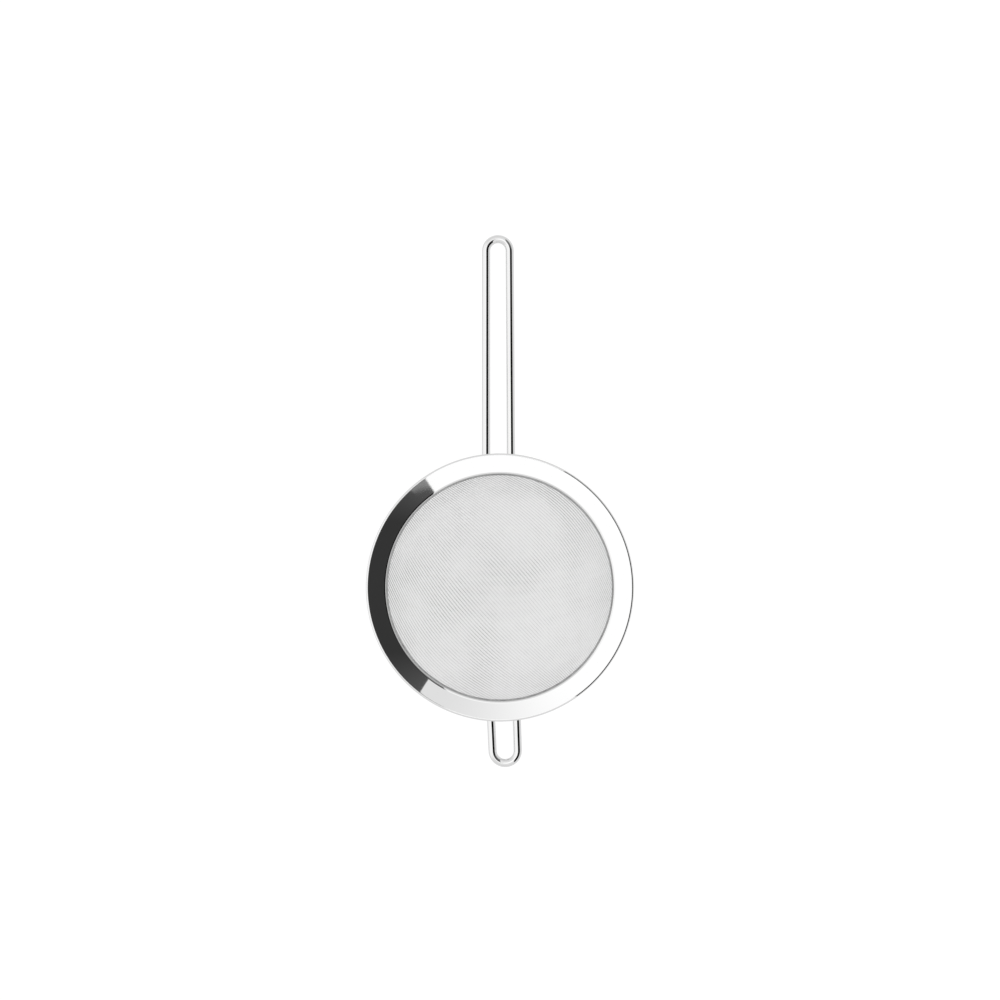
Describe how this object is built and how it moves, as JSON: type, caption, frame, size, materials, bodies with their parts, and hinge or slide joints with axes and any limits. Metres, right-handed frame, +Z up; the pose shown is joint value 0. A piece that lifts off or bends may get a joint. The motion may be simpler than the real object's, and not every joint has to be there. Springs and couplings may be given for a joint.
{
  "type": "mesh strainer",
  "caption": "Round fine-mesh kitchen strainer: woven steel wire bowl under a wide polished rim, with a long wire handle and a short wire rest loop opposite.",
  "frame": {"origin": "lowest point of the bowl, on the bowl's axis, in the small flat that the bowl stands on", "axes": "+Z up out of the bowl's mouth, +Y along the handle, away from the bowl"},
  "size_m": [0.16, 0.3183, 0.0575],
  "materials": {
    "polished_sheet": "mirror-polished stainless sheet",
    "polished_rod": "mirror-polished stainless rod",
    "woven_wire": "bright drawn wire in a fine twill weave",
    "clamp_band": "satin stainless strip",
    "weld_metal": "cleaned weld metal"
  },
  "bodies": {
    "root": {"rim_flange": "polished_sheet", "mesh_bowl": "woven_wire", "clamp_ring": "clamp_band", "handle_wire": "polished_rod", "rest_loop_wire": "polished_rod", "handle_weld_left": "weld_metal", "handle_weld_right": "weld_metal", "rest_weld_left": "weld_metal", "rest_weld_right": "weld_metal"}
  },
  "joints": []
}
